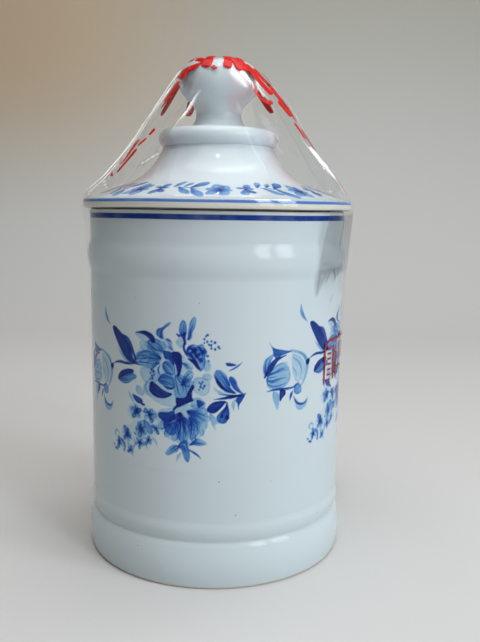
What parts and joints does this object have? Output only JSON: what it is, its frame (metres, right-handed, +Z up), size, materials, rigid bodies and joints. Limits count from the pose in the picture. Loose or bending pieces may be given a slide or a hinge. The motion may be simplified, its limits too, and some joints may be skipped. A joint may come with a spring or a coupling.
{
  "type": "apothecary jar",
  "caption": "White porcelain storage jar with a loose knobbed lid and blue flower painting, under a clear printed film hood.",
  "frame": {"origin": "centre of the foot ring's underside, on the surface the jar stands on", "axes": "+Z up along the jar's axis; -Y is the front, where the print and the flowers face"},
  "size_m": [0.124, 0.124, 0.2236],
  "materials": {
    "porcelain": "bluish white glossy glaze with underglaze cobalt painting; unglazed foot ring",
    "lid_porcelain": "bluish white glossy glaze with underglaze cobalt painting and a cobalt line round the rim",
    "film": "crystal clear shrink film, glossy and creased, with plain red printed marks"
  },
  "bodies": {
    "jar": {"jar_body": "porcelain"},
    "lid_body": {"lid": "lid_porcelain"},
    "hood": {"shrink_hood": "film"}
  },
  "joints": [
    {"name": "lid_lift", "type": "slide", "parent": "jar", "child": "lid_body", "axis": [0, 0, 1], "range_m": [0, 0.09]},
    {"name": "hood_lift", "type": "slide", "parent": "lid_body", "child": "hood", "axis": [0, 0, 1], "range_m": [0, 0.16]}
  ]
}
